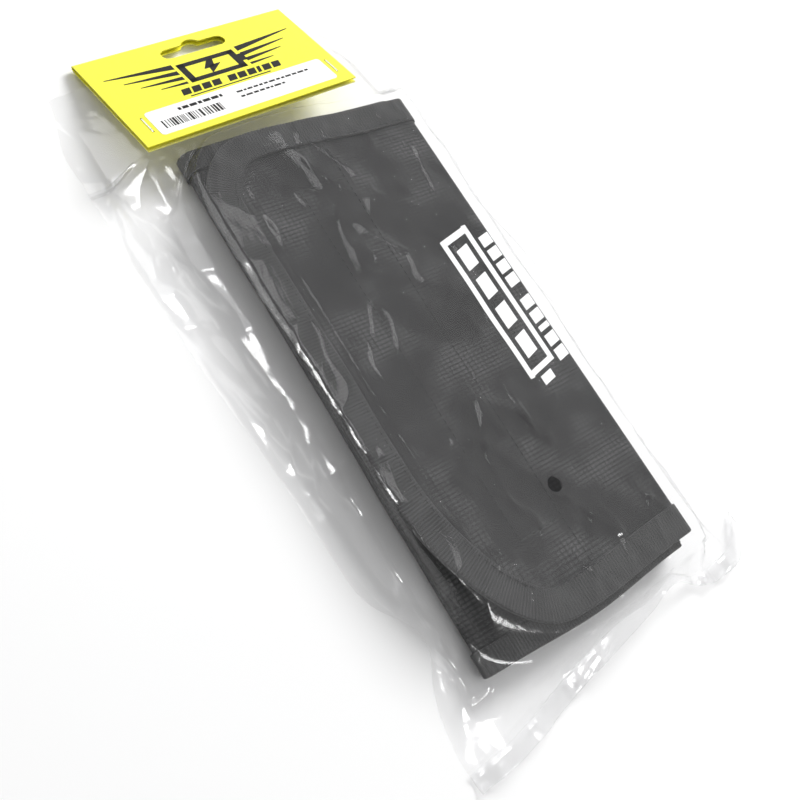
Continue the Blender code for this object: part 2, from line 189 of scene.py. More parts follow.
def noise(u, v, seed):
    """Smooth random waves between -1 and 1, about one cell per unit."""
    table = np.random.default_rng(seed).uniform(-1.0, 1.0, (CELLS, CELLS))
    i, j = np.floor(u).astype(int), np.floor(v).astype(int)
    s, t = ease(u - i), ease(v - j)
    right, above = (i + 1) % CELLS, (j + 1) % CELLS
    i, j = i % CELLS, j % CELLS
    low = table[i, j] * (1 - s) + table[right, j] * s
    high = table[i, above] * (1 - s) + table[right, above] * s
    return low * (1 - t) + high * t


def ridges(u, v, seed):
    """Sharp crests, 0 to 1, where smooth waves cross zero."""
    return np.square(1 - np.abs(noise(u, v, seed) + 0.5 * noise(2.1 * u, 2.1 * v, seed + 1)))


# ---------------------------------------------------------------- meshes

def new_object(name, points, faces, uv=None, smooth=True):
    mesh = bpy.data.meshes.new(name)
    points = np.asarray(points, float).reshape(-1, 3) * MM
    mesh.from_pydata(points.tolist(), [], faces)
    if uv is not None:
        flat = np.zeros((len(points), 2), np.float32)
        flat[:] = np.asarray(uv, float).reshape(-1, 2)
        layer = mesh.attributes.new("cloth_uv", "FLOAT2", "POINT")
        layer.data.foreach_set("vector", flat.ravel())
    mesh.polygons.foreach_set("use_smooth", [smooth] * len(mesh.polygons))
    mesh.update()
    obj = bpy.data.objects.new(name, mesh)
    bpy.context.scene.collection.objects.link(obj)
    return obj


def grid_faces(rows, columns, start=0, flip=False):
    faces = []
    for i in range(rows - 1):
        for j in range(columns - 1):
            a = start + i * columns + j
            quad = (a, a + 1, a + columns + 1, a + columns)
            faces.append(quad[::-1] if flip else quad)
    return faces


def tube_faces(rings, sides, start=0):
    """A tube through rings of points, with a cap at both ends."""
    faces = []
    for i in range(rings - 1):
        low, high = start + i * sides, start + (i + 1) * sides
        for j in range(sides):
            k = (j + 1) % sides
            faces.append((low + j, low + k, high + k, high + j))
    last = start + (rings - 1) * sides
    faces.append(tuple(start + j for j in reversed(range(sides))))
    faces.append(tuple(last + j for j in range(sides)))
    return faces


def turn_out(obj):
    work = bmesh.new()
    work.from_mesh(obj.data)
    bmesh.ops.recalc_face_normals(work, faces=work.faces)
    work.to_mesh(obj.data)
    work.free()
    return obj


def shell(name, middle, thickness, uv):
    """A closed solid of even thickness round a grid of points."""
    normal = unit(np.cross(np.gradient(middle, axis=1), np.gradient(middle, axis=0)))
    rows, columns = middle.shape[:2]
    top = middle + normal * thickness / 2
    bottom = middle - normal * thickness / 2
    points = np.concatenate([top.reshape(-1, 3), bottom.reshape(-1, 3)])
    under = rows * columns
    faces = grid_faces(rows, columns) + grid_faces(rows, columns, under, True)
    border = list(range(columns))
    border += [i * columns + columns - 1 for i in range(1, rows)]
    border += [(rows - 1) * columns + j for j in reversed(range(columns - 1))]
    border += [i * columns for i in reversed(range(1, rows - 1))]
    for here, after in zip(border, border[1:] + border[:1]):
        faces.append((here, under + here, under + after, after))
    uv = np.asarray(uv, float).reshape(-1, 2)
    return turn_out(new_object(name, points, faces, np.concatenate([uv, uv])))


def arc_lengths(path):
    steps = np.linalg.norm(np.diff(path, axis=0), axis=1)
    return np.concatenate([[0.0], np.cumsum(steps)])


def at_lengths(values, lengths, wanted):
    """Values at wanted distances along a path whose points lie at these lengths."""
    columns = np.transpose(np.asarray(values, float))
    return np.stack([np.interp(wanted, lengths, column) for column in columns], axis=-1)


def resample(path, step, *others):
    """The path, and what goes with it, at even steps."""
    lengths = arc_lengths(path)
    count = max(int(round(lengths[-1] / step)), 2)
    wanted = np.linspace(0.0, lengths[-1], count + 1)
    return [at_lengths(values, lengths, wanted) for values in (path, *others)]


def tape_section(width, half_gap):
    """Binding tape in section: out, lift and how far each rib pushes a point out and up."""
    top = half_gap + TAPE
    bulge = 0.55
    outer = [(-width, half_gap + 0.05), (-width + 0.05, top - 0.1), (-width + 0.35, top)]
    outer += [(-width * share, top) for share in (0.8, 0.55, 0.3, 0.1)]
    above = [(*outer[0], 0.0, 0.0)] + [(out, lift, 0.0, 1.0) for out, lift in outer[1:]]
    nose = [(TAPE_NOSE - bulge + bulge * cos(turn), top * sin(turn), cos(turn), sin(turn))
            for turn in np.linspace(pi / 2, -pi / 2, 9)]
    below = [(out, -lift, 0.0, -rib) for out, lift, _, rib in reversed(above)]
    inner = [(-width + 0.1, -half_gap, 0, 0), (-0.4, -half_gap, 0, 0),
             (-0.4, half_gap, 0, 0), (-width + 0.1, half_gap, 0, 0)]
    return np.array(above + nose + below + inner, float)


def tape(name, centres, outwards, normals, width, half_gap):
    """Ribbed binding tape folded over an edge, swept along it."""
    centres, outwards, normals = resample(centres, RIB_PITCH / 4, outwards, normals)
    run = arc_lengths(centres)[:, None]
    rib = RIB_HEIGHT * (0.5 + 0.5 * np.cos(2 * pi * run / RIB_PITCH))
    out, lift, rib_out, rib_lift = tape_section(width, half_gap).T
    points = centres[:, None] + unit(outwards)[:, None] * (out + rib * rib_out)[..., None]
    points = points + unit(normals)[:, None] * (lift + rib * rib_lift)[..., None]
    uv = stack(out + lift, run)
    return turn_out(new_object(name, points, tube_faces(*points.shape[:2]), uv))


def stitches(name, *runs):
    """Rows of separate stitches, each a short thread that dips in at both ends."""
    pitch = STITCH + STITCH_GAP
    rings, sides = 6, 6
    points, faces = [], []
    for path, normals in runs:
        lengths = arc_lengths(path)
        for index in range(int(lengths[-1] / pitch)):
            start = (index + 0.5) * pitch - STITCH / 2
            faces += tube_faces(rings, sides, len(points))
            for share in np.linspace(0.0, 1.0, rings):
                where = start + share * STITCH
                centre, ahead = at_lengths(path, lengths, [where, where + 0.3])
                up = at_lengths(normals, lengths, where)
                side = np.cross(unit(ahead - centre), up)
                swell = THREAD * (0.55 + 0.45 * sin(pi * share))
                centre = centre + up * (0.28 * sin(pi * share) - 0.16)
                points += [centre + side * swell * cos(turn) + up * swell * sin(turn)
                           for turn in np.linspace(0, 2 * pi, sides, endpoint=False)]
    return turn_out(new_object(name, np.array(points), faces))


def patches(name, quads, surface, step=1.2):
    """Printed shapes: four-cornered patches that follow a surface."""
    points, faces = [], []
    for quad in quads:
        a, b, c, d = [np.array(p, float) for p in quad]
        rows = max(int(np.linalg.norm(d - a) / step), 1) + 1
        columns = max(int(np.linalg.norm(b - a) / step), 1) + 1
        s = np.linspace(0, 1, columns)[None, :, None]
        t = np.linspace(0, 1, rows)[:, None, None]
        flat = (a * (1 - s) + b * s) * (1 - t) + (d * (1 - s) + c * s) * t
        start = len(points)
        points += surface(flat[..., 0], flat[..., 1]).reshape(-1, 3).tolist()
        faces += grid_faces(rows, columns, start)
    return new_object(name, np.array(points), faces)


# ---------------------------------------------------------------- the flap's surface

def flap_wave(x, y):
    """How far the cloth of the flap stands above its flat level."""
    inside = ease((FLAP_FOLD_X - 2 - x) / 25)
    wave = 0.8 + 0.9 * noise(x / 30 + 3.1, y / 44 + 7.7, 11)
    wave += 0.3 * noise(x / 13 + 0.04 * y, y / 24, 12)
    lower_corner = 2.6 * ease((-12 - x) / 38) * hill((y + 86) / 40)
    free_edge = 0.8 * ease((-30 - x) / 28) * hill((y - 20) / 60)
    beside_tape = 0.55 * hill((flap_distance(x, y) + FLAP_TAPE_WIDTH + 1.4) / 1.1)
    return inside * (np.maximum(wave, 0.0) + lower_corner + free_edge - beside_tape)


def flap_point(x, y, lift):
    """A point on the flap's flat part, or on its fold where x runs past the fold's start."""
    turn = np.clip((x - FLAP_FOLD_X) / FLAP_FOLD_RADIUS, 0.0, pi)
    radius = FLAP_FOLD_RADIUS + lift
    flat_x = np.minimum(x, FLAP_FOLD_X)
    height = FLAP_LEVEL + flap_wave(flat_x, y) + lift
    curved = turn > 0
    px = np.where(curved, FLAP_FOLD_X + radius * np.sin(turn), flat_x)
    pz = np.where(curved, FLAP_AXIS_HEIGHT + radius * np.cos(turn), height)
    return from_sack(px, y, pz)


def flap_corner(side, inset):
    """Points and ways out round one corner of the flap, from its end to its free edge."""
    wide, long = FLAP_CORNERS[side]
    turns = np.linspace(pi / 2, pi, 24)
    out = unit(np.stack([np.cos(turns) / wide, side * np.sin(turns) / long], axis=1))
    line = np.stack([FLAP_FREE_X + wide + wide * np.cos(turns),
                     side * (FLAP_HALF_LENGTH - long + long * np.sin(turns))], axis=1)
    return line - out * inset, out


def flap_reach(side, x, inset):
    """Where the flap's edge runs, drawn inset, at a place across it."""
    wide, long = FLAP_CORNERS[side]
    share = np.clip((FLAP_FREE_X + wide - x) / (wide - inset), 0.0, 1.0)
    return side * (FLAP_HALF_LENGTH - long + (long - inset) * np.sqrt(1 - share ** 2))


def flap_distance(x, y):
    """How far a point of the sack's plan lies outside the flap's edge."""
    found = np.maximum(FLAP_FREE_X - x, np.abs(y) - FLAP_HALF_LENGTH)
    for side, (wide, long) in FLAP_CORNERS.items():
        a, b = x - FLAP_FREE_X - wide, side * y - FLAP_HALF_LENGTH + long
        size = np.maximum(np.hypot(a / wide, b / long), 1e-6)
        slope = np.maximum(np.hypot(a / wide ** 2, b / long ** 2) / size, 1e-6)
        found = np.where((a < 0) & (b > 0), (size - 1) / slope, found)
    return found


def flap_outline(inset, whole=True):
    """The flap's edge, drawn in from its tape: one end of the fold, round, and the other."""
    inset += TAPE_NOSE
    start = FLAP_FOLD_X + (pi * FLAP_FOLD_RADIUS if whole else -0.5)
    halves = []
    for side in (1, -1):
        edge = side * (FLAP_HALF_LENGTH - inset)
        line, out = flap_corner(side, inset)
        halves.append((np.concatenate([[(start, edge), (FLAP_FOLD_X, edge)], line]),
                       np.concatenate([[(0.0, side), (0.0, side)], out])))
    (top, top_out), (bottom, bottom_out) = halves
    return resample(np.concatenate([top, bottom[::-1]]), 2.0,
                    np.concatenate([top_out, bottom_out[::-1]]))


def on_flap(line, out, lift):
    """Places, ways out and normals along a line of the flap."""
    centre = flap_point(line[:, 0], line[:, 1], lift)
    ahead = flap_point(line[:, 0] + out[:, 0], line[:, 1] + out[:, 1], lift)
    outward = unit(ahead - centre)
    normal = flap_point(line[:, 0], line[:, 1], lift + 1.0) - centre
    normal -= outward * np.sum(normal * outward, axis=1, keepdims=True)
    return centre, outward, unit(normal)


# ---------------------------------------------------------------- materials

def new_material(name):
    material = bpy.data.materials.new(name)
    material.use_nodes = True
    nodes = material.node_tree.nodes
    return material, nodes, material.node_tree.links, nodes["Principled BSDF"]


def set_inputs(made, **values):
    for key, value in values.items():
        made.inputs[key.replace("_", " ")].default_value = value


def node(nodes, kind, **values):
    made = nodes.new(kind)
    set_inputs(made, **values)
    return made


def math_node(nodes, links, operation, first, second=None):
    made = nodes.new("ShaderNodeMath")
    made.operation = operation
    for index, value in enumerate((first, second)):
        if value is None:
            continue
        if isinstance(value, (int, float)):
            made.inputs[index].default_value = value
        else:
            links.new(value, made.inputs[index])
    return made.outputs[0]


def colour_ramp(nodes, links, factor, low, high, start=0.3, end=0.7):
    ramp = nodes.new("ShaderNodeValToRGB")
    for stop, position, colour in zip(ramp.color_ramp.elements, (start, end), (low, high)):
        stop.position = position
        stop.color = (*colour, 1.0)
    links.new(factor, ramp.inputs[0])
    return ramp.outputs[0]


def noise_node(nodes, links, place, **values):
    made = node(nodes, "ShaderNodeTexNoise", **values)
    links.new(place, made.inputs["Vector"])
    return made.outputs["Fac"]


def object_noise(nodes, links, **values):
    place = nodes.new("ShaderNodeTexCoord").outputs["Object"]
    return noise_node(nodes, links, place, **values)


def cloth_place(nodes, links):
    """Where a point lies on its cloth or tape, and that place's two parts."""
    place = nodes.new("ShaderNodeAttribute")
    place.attribute_name = "cloth_uv"
    parts = nodes.new("ShaderNodeSeparateXYZ")
    links.new(place.outputs["Vector"], parts.inputs[0])
    return place.outputs["Vector"], parts.outputs


def bump_from(nodes, links, height, strength, distance, *shaders):
    bump = node(nodes, "ShaderNodeBump", Strength=strength, Distance=distance)
    links.new(height, bump.inputs["Height"])
    for shader in shaders:
        links.new(bump.outputs["Normal"], shader.inputs["Normal"])


def cloth_material():
    """Dark coated glass cloth: a fine square weave of raised cells under a satin coat, with
    painted shade between the cells in broad patches and a random broad tone.
    """
    material, nodes, links, shader = new_material("coated_cloth")
    place, parts = cloth_place(nodes, links)
    waves = []
    for axis, pitch in zip(("X", "Y"), WEAVE):
        angle = math_node(nodes, links, "MULTIPLY", parts[axis], pi / pitch)
        wave = math_node(nodes, links, "SINE", angle)
        waves.append(math_node(nodes, links, "ABSOLUTE", wave))
    bars = math_node(nodes, links, "MULTIPLY", waves[0], 0.75)
    bars = math_node(nodes, links, "ADD", bars, 0.25)
    weave = math_node(nodes, links, "MULTIPLY", waves[1], bars)
    fine = noise_node(nodes, links, place, Scale=0.4, Detail=2.0)
    broad = noise_node(nodes, links, place, Scale=0.035, Detail=3.0)
    taut = node(nodes, "ShaderNodeMapRange", From_Min=0.47, From_Max=0.64, To_Min=0.12)
    links.new(broad, taut.inputs["Value"])
    weave = math_node(nodes, links, "MULTIPLY", weave, taut.outputs["Result"])
    # Painted shade: the colour is darker between the weave's raised cells, where the broad patches
    # let the weave show; the broad noise adds a random tone.
    shade_and_tone = math_node(nodes, links, "MULTIPLY", weave, 0.7)
    faded = math_node(nodes, links, "MULTIPLY", broad, 0.6)
    shade_and_tone = math_node(nodes, links, "ADD", shade_and_tone, faded)
    colour = colour_ramp(nodes, links, shade_and_tone, (0.006, 0.006, 0.0065), (0.062, 0.062, 0.063),
                         0.2, 1.0)
    links.new(colour, shader.inputs["Base Color"])
    bump_from(nodes, links, weave, 0.6, 0.00018, shader)
    rough = math_node(nodes, links, "MULTIPLY", fine, 0.25)
    rough = math_node(nodes, links, "ADD", rough, 0.36)
    links.new(rough, shader.inputs["Roughness"])
    set_inputs(shader, Specular_IOR_Level=0.15)
    return material


def ribbed_material(name, colour, roughness):
    """Grosgrain tape: ribs across its run, with painted shade between them, and slight fading."""
    material, nodes, links, shader = new_material(name)
    place, parts = cloth_place(nodes, links)
    angle = math_node(nodes, links, "MULTIPLY", parts["Y"], 2 * pi / RIB_PITCH)
    wave = math_node(nodes, links, "COSINE", angle)
    wave = math_node(nodes, links, "MULTIPLY", wave, 0.22)
    broad = noise_node(nodes, links, place, Scale=0.09, Detail=2.0)
    # Painted shade: the colour is darker between the ribs; the broad noise adds slight fading.
    shade_and_tone = math_node(nodes, links, "ADD", wave, broad)
    dark = tuple(c * 0.35 for c in colour)
    tint = colour_ramp(nodes, links, shade_and_tone, dark, colour, 0.25, 0.8)
    links.new(tint, shader.inputs["Base Color"])
    bump_from(nodes, links, wave, 0.4, 0.00015, shader)
    set_inputs(shader, Roughness=roughness, Specular_IOR_Level=0.25, Sheen_Weight=0.12,
               Sheen_Roughness=0.5)
    return material


def woven_material(name, colour, roughness, scale, strength, distance, sheen):
    """Matt narrow fabric: yarn grain and slight fading."""
    material, nodes, links, shader = new_material(name)
    grain = object_noise(nodes, links, Scale=scale, Detail=4.0, Roughness=0.6)
    light = tuple(c * 1.9 for c in colour)
    links.new(colour_ramp(nodes, links, grain, colour, light), shader.inputs["Base Color"])
    bump_from(nodes, links, grain, strength, distance, shader)
    set_inputs(shader, Roughness=roughness, Specular_IOR_Level=0.25, Sheen_Weight=sheen,
               Sheen_Roughness=0.5)
    return material


def mix_shaders(nodes, links, share, first, second):
    mixed = nodes.new("ShaderNodeMixShader")
    for socket, source in zip(mixed.inputs, (share, first, second)):
        links.new(source, socket)
    return mixed.outputs[0]


def film_material(name, haze, gloss, crinkle):
    """Thin clear film: mostly open, with a little milky haze and the gloss of both faces."""
    material, nodes, links, shader = new_material(name)
    nodes.remove(shader)
    place = nodes.new("ShaderNodeTexCoord").outputs["Object"]
    spread = node(nodes, "ShaderNodeMapping", Scale=(62.0, 34.0, 50.0),
                  Rotation=(0.0, 0.0, radians(24)))
    links.new(place, spread.inputs["Vector"])
    folds = noise_node(nodes, links, spread.outputs["Vector"], Scale=1.0, Detail=3.5,
                       Distortion=0.9)
    shine = node(nodes, "ShaderNodeBsdfGlossy", Roughness=gloss)
    facing = nodes.new("ShaderNodeLayerWeight")
    bump_from(nodes, links, folds, crinkle, 0.0022, shine, facing)

    clear = node(nodes, "ShaderNodeBsdfTransparent", Color=(0.968, 0.968, 0.97, 1.0))
    milk = node(nodes, "ShaderNodeBsdfDiffuse", Color=(0.88, 0.88, 0.885, 1.0))
    patchy = node(nodes, "ShaderNodeMapRange", To_Min=haze * 0.6, To_Max=haze * 1.6)
    links.new(folds, patchy.inputs["Value"])
    both = math_node(nodes, links, "POWER", facing.outputs["Facing"], 5.0)
    both = math_node(nodes, links, "MULTIPLY", both, 0.85)
    both = math_node(nodes, links, "ADD", both, 0.046)
    body = mix_shaders(nodes, links, patchy.outputs["Result"], clear.outputs[0], milk.outputs[0])
    film = mix_shaders(nodes, links, both, body, shine.outputs[0])
    links.new(film, nodes["Material Output"].inputs["Surface"])
    return material


def card_material(name, colour, roughness):
    """Coated board: clean print colour, satin coat and the faint mottle of the board."""
    material, nodes, links, shader = new_material(name)
    mottle = object_noise(nodes, links, Scale=260.0, Detail=3.0)
    dull = tuple(c * 0.93 for c in colour)
    links.new(colour_ramp(nodes, links, mottle, dull, colour), shader.inputs["Base Color"])
    bump_from(nodes, links, mottle, 0.12, 0.0001, shader)
    set_inputs(shader, Roughness=roughness, Coat_Weight=0.35, Coat_Roughness=0.22)
    return material


def ink_material(name, colour, roughness, breakup):
    """Printed ink, a little uneven where it lies on the grain below."""
    material, nodes, links, shader = new_material(name)
    grain = object_noise(nodes, links, Scale=900.0, Detail=2.0)
    faded = tuple(c * (1 - breakup) for c in colour)
    links.new(colour_ramp(nodes, links, grain, faded, colour), shader.inputs["Base Color"])
    set_inputs(shader, Roughness=roughness, Specular_IOR_Level=0.3)
    return material


def wire_material():
    """Bright drawn wire with fine draw marks."""
    material, nodes, links, shader = new_material("staple_wire")
    marks = object_noise(nodes, links, Scale=1500.0, Detail=2.0)
    rough = math_node(nodes, links, "MULTIPLY", marks, 0.25)
    rough = math_node(nodes, links, "ADD", rough, 0.16)
    links.new(rough, shader.inputs["Roughness"])
    set_inputs(shader, Base_Color=(0.66, 0.66, 0.68, 1.0), Metallic=1.0)
    return material


looks = {
    "cloth": cloth_material(),
    "tape": ribbed_material("ribbed_tape", (0.036, 0.036, 0.037), 0.75),
    "hook": woven_material("hook_tape", (0.01, 0.01, 0.01), roughness=0.7, scale=1400,
                           strength=1.0, distance=0.0006, sheen=0.0),
    "loop": woven_material("loop_tape", (0.014, 0.014, 0.014), roughness=0.95, scale=900,
                           strength=1.0, distance=0.0006, sheen=0.4),
    "thread": woven_material("sewing_thread", (0.006, 0.006, 0.0065), roughness=0.6,
                             scale=2500, strength=0.4, distance=0.0001, sheen=0.1),
    "front_film": film_material("clear_film_front", haze=0.017, gloss=0.16, crinkle=0.3),
    "rear_film": film_material("clear_film_rear", haze=0.012, gloss=0.2, crinkle=0.2),
    "seal_film": film_material("clear_film_seal", haze=0.08, gloss=0.22, crinkle=0.6),
    "card": card_material("yellow_board", (0.97, 0.93, 0.045), 0.38),
    "paper": card_material("label_paper", (0.93, 0.93, 0.92), 0.45),
    "black": ink_material("black_ink", (0.012, 0.012, 0.013), 0.4, 0.2),
    "white": ink_material("white_ink", (0.93, 0.93, 0.93), 0.5, 0.06),
    "steel": wire_material(),
}


def finish_piece(obj, look, slot, body, *nodes):
    obj.data.materials.append(looks[look])
    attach(obj, body)
    if nodes:
        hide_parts(*nodes)
    return obj


def dress(node_name, look):
    """A CAD node that stays gets its finished material."""
    materials = frame["nodes"][node_name].data.materials
    materials.clear()
    materials.append(looks[look])


# ---------------------------------------------------------------- sack

def body_profile(radius, start_x, end_x, groove):
    """A panel's middle line in section: over the top, round the left fold, back below."""
    top = np.linspace(start_x, BODY_FOLD_X, 50)[:-1]
    turns = np.linspace(pi / 2, 3 * pi / 2, 25)
    bottom = np.linspace(BODY_FOLD_X, end_x, 40)[1:]
    push = radius * (1 + groove * (np.abs(np.sin(2 * turns)) - 0.35) * np.abs(np.cos(turns)))
    push = push - radius * groove * hill((turns - pi) / 0.3)
    xs = np.concatenate([top, BODY_FOLD_X + push * np.cos(turns), bottom])
    zs = np.concatenate([0 * top + FOLD_HEIGHT + radius, FOLD_HEIGHT + radius * np.sin(turns),
                         0 * bottom + FOLD_HEIGHT - radius])
    return xs, zs


def body_panel(name, radius, start_x, end_x, groove, node_name):
    xs, zs = body_profile(radius, start_x, end_x, groove)
    reach = BODY_HALF_LENGTH - CLOTH_INSET
    ys = np.linspace(-reach, reach, 90)
    x, y = np.meshgrid(xs, ys)
    z = np.broadcast_to(zs, x.shape)
    wave = 0.35 * noise(y / 23, x / 300, 31) * ease((-46 - x) / 8)
    run = arc_lengths(np.stack([xs, zs], axis=1))
    uv = stack(np.broadcast_to(run, x.shape), y)
    obj = shell(name, from_sack(x + wave, y, z), CLOTH, uv)
    return finish_piece(obj, "cloth", "cloth", "sack", node_name)


def side_tape(name, side, node_name):
    start = BODY_RIGHT_X - 0.7
    xs, zs = body_profile(LAYER_MIDDLE, start, start, 0.0)
    centres = from_sack(xs, side * (BODY_HALF_LENGTH - TAPE_NOSE), zs)
    run = unit(np.gradient(centres, axis=0))
    outward = np.broadcast_to(side * along, centres.shape)
    normal = np.cross(outward, run) * side
    obj = tape(name, centres, outward, normal, SIDE_TAPE_WIDTH, LAYER_HALF_GAP)
    return finish_piece(obj, "tape", "tape", "sack", node_name)


def edge_tape(name, z, half_gap, node_name):
    reach = BODY_HALF_LENGTH - SIDE_TAPE_WIDTH - 1.8
    centres = from_sack(BODY_RIGHT_X, np.linspace(-reach, reach, 20), z)
    outward = np.broadcast_to(across, centres.shape)
    normal = np.broadcast_to(UP, centres.shape)
    obj = tape(name, centres, outward, normal, EDGE_TAPE_WIDTH, half_gap)
    return finish_piece(obj, "tape", "tape", "sack", node_name)


def build_sack():
    front = body_panel("front_cloth", FRONT_RADIUS, start_x=BODY_RIGHT_X, end_x=BODY_RIGHT_X,
                       groove=0.16, node_name="front_panel")
    back = body_panel("back_cloth", BACK_RADIUS, start_x=FLAP_FOLD_X - 0.6, end_x=BODY_RIGHT_X,
                      groove=0.0, node_name="back_panel")
    top = side_tape("side_tape_top", 1, "side_binding_top")
    bottom = side_tape("side_tape_bottom", -1, "side_binding_bottom")
    mouth = edge_tape("mouth_tape", FOLD_HEIGHT + FRONT_RADIUS, EDGE_HALF_GAP, "mouth_binding")
    base = edge_tape("base_tape", FOLD_HEIGHT - LAYER_MIDDLE, LAYER_HALF_GAP, "base_binding")


def flap_grid():
    """The flap's cloth: rows follow its fold and its flat part, narrower at the corners."""
    inset, rows = 1.1, 140
    bend = FLAP_CORNERS[-1][0]
    fold = np.linspace(FLAP_FOLD_X + pi * FLAP_FOLD_RADIUS, FLAP_FOLD_X, 14)[:-1]
    flat = np.linspace(FLAP_FOLD_X, FLAP_FREE_X + bend, 40)[:-1]
    corner = FLAP_FREE_X + bend - (bend - inset) * np.sin(np.linspace(0.0, pi / 2, 26))
    xs = np.concatenate([fold, flat, corner])[:, None]
    high, low = flap_reach(1, xs, inset), flap_reach(-1, xs, inset)
    y = low + (high - low) * np.linspace(0.0, 1.0, rows)
    return np.broadcast_to(xs, y.shape), y


def build_flap():
    x, y = flap_grid()
    cloth = shell("flap_cloth", flap_point(x, y, 0.0), CLOTH, stack(x, y))
    finish_piece(cloth, "cloth", "cloth", "flap", "flap_panel")

    line, out = flap_outline(0.0)
    centre, outward, normal = on_flap(line, out, 0.0)
    binding = tape("flap_tape", centre, outward, normal, FLAP_TAPE_WIDTH, CLOTH / 2 + 0.1)
    finish_piece(binding, "tape", "tape", "flap", "flap_binding")

    line, out = flap_outline(FLAP_TAPE_WIDTH - 1.5, whole=False)
    centre, outward, normal = on_flap(line, out, CLOTH / 2 + TAPE + RIB_HEIGHT)
    seam = stitches("flap_tape_stitches", (centre, normal))
    finish_piece(seam, "thread", "thread", "flap", "flap_binding_stitching")

    left, right, reach, whole_reach = -19.5, 2.8, 83.5, 103.0
    runs = []
    for line in ([(right - 0.8, reach), (left, reach), (left, -reach), (right - 0.8, -reach)],
                 [(right, whole_reach), (right, -whole_reach)]):
        line, = resample(np.array(line), 2.0)
        path = flap_point(line[:, 0], line[:, 1], CLOTH / 2)
        runs.append((path, np.broadcast_to(UP, path.shape)))
    seam = stitches("closure_stitches", *runs)
    finish_piece(seam, "thread", "thread", "flap", "closure_stitching")

    printed = patches("flap_print", flap_print(), lambda x, y: flap_point(x, y, CLOTH / 2 + 0.07))
    finish_piece(printed, "white", "cloth", "flap")


def block(x0, x1, y0, y1, slant=0.0):
    """A slanted block; x runs across its height and y along its row."""
    return [(x0, y0), (x1, y0 + slant), (x1, y1 + slant), (x0, y1)]


def row_of_blocks(start, widths, space, gap):
    """Start and end of each block of a printed row; a width of 0 leaves a space."""
    for width in widths:
        if width:
            yield start, start + width
        start += max(width, space) + gap


def flap_print():
    """A battery outline with charge bars, and a row of small slanted blocks beside it."""
    low, high, start, end = 26.0, 43.0, 41.0, -35.0
    line, lean, inset = 2.6, 4.0, 5.0
    quads = [block(low, low + line, start, end + inset),
             block(high - line, high, start + lean, end + inset + lean),
             block(low, high, start, start - line - 0.6, lean),
             block(low, high, end + inset + line, end + inset, lean),
             block(low + inset, high - inset, end + 4.2, end, 1.6)]
    charge, charge_pitch = 10.5, 15.2
    for index in range(4):
        place = start - 6.5 - index * charge_pitch
        quads.append(block(low + inset, high - inset, place, place - charge, 2.2))
    widths = (5.5, 5.5, 5.5, 5.5, 0, 5.5, 5.5, 2.6, 5.5, 5.5)
    quads += [block(45.0, 51.2, -first, -last, 1.4)
              for first, last in row_of_blocks(-37.0, widths, 3.0, 1.7)]
    return quads


# ---------------------------------------------------------------- polybag

def film_sides(y):
    """Where the front film's left and right edges run, along its body."""
    left = FILM_LEFT - 0.2 + 10.5 * hill((y + 109) / 16) - 3.8 * ease((-128 - y) / 25)
    left = left + 0.7 * noise(y / 21, 0 * y, 81)
    right = FILM_RIGHT - 0.7 - 4.5 * ease((y - 60) / 40) + 0.6 * noise(y / 24, 0 * y + 5, 82)
    return left, right


def bottom_edge(x):
    """The bottom edge: drawn up towards the sack on its right, with one rounded corner."""
    drawn = 8.5 * ease((x + 75) / 85) * (1 - ease((x - 28) / 24)) + 3.2 * hill((x - 26) / 9)
    return FILM_BOTTOM + drawn + 11.0 * ease((x - 64) / 16) ** 1.5


def seal_width(x):
    return 7.5 - 4.5 * hill((x - 25) / 22)


def droop(x, u):
    """How far the neck's sides hang below the card."""
    return 14.5 * ease((np.abs(x - CARD_MIDDLE) - 53) / 20) * (1 - u / 58)


def crest_height(own_x, own_y):
    """The front film over the sack: close over the flap, lower past the flap's edge."""
    reach = np.clip(FLAP_FOLD_X - own_x, 0.0, FLAP_FOLD_X - FLAP_FREE_X)
    outside = flap_distance(own_x, own_y)
    wave = flap_wave(np.minimum(own_x, FLAP_FOLD_X - 2), own_y)
    crest = FILM_CREST + reach * sin(FLAP_LIFT) + 0.95 * wave
    crest = crest + 0.8 * hill((outside + 8.0) / 12.0)
    slack = 13.0 * hill((own_x + 46) / 15) * hill((own_y + 104) / 15)
    beyond = ease((outside - 3.5) / (7.5 + slack))
    return crest + (FILM_LOWER_CREST - crest) * beyond


def tent_height(x, y):
    """The front film's height, and its share of the fall from the sack to its side wings."""
    own_x, own_y = to_sack(x, y)
    left = FLAP_FREE_X - 1.5 - own_x
    below = -BODY_HALF_LENGTH - 3.5 - own_y
    over_x = np.maximum(np.maximum(left, own_x - FLAP_FOLD_X - 4.5), 0.0)
    over_y = np.maximum(np.maximum(below, own_y - BODY_HALF_LENGTH), 0.0)
    out = np.hypot(over_x, over_y)
    foot = np.where(left > 0, 5.5 + 8.5 * ease((y + 55) / 75), 12.0)
    foot = np.where(below > 0, 9.0, foot)
    wing = 2.2 + 1.5 * noise(y / 30 + 0.2 * x, x / 17, 41)
    wing = wing * ease((-FILM_LEFT - np.abs(x)) / 9)
    share = np.clip(out / foot, 0.0, 1.0)
    fall = 0.7 * share + 0.3 * ease(share)
    pinch = 1.3 * np.exp(-np.abs(out - foot) / 1.4) * (over_x > 0)
    pinch = pinch * ease((60 - np.abs(own_y)) / 30)
    crest = crest_height(own_x, own_y)
    return crest + (FILM_LOW + wing - crest) * fall + pinch, share


def wrinkles(x, y, fall):
    """Slack in the film: long soft folds, short creases, and creases across its side wings."""
    long = ridges((x + 0.45 * y) / 26, (y - 0.3 * x) / 70, 51) ** 2
    short = ridges((x - 0.5 * y) / 17, (y + 0.8 * x) / 40, 57) ** 3 * 0.8
    side = ridges(y / 15 + 0.05 * x, x / 50, 63) * 1.2 * ease(fall * 2)
    return long + short + side * (0.4 + 0.6 * hill((y - 52) / 26) + 0.6 * hill((y + 128) / 30))


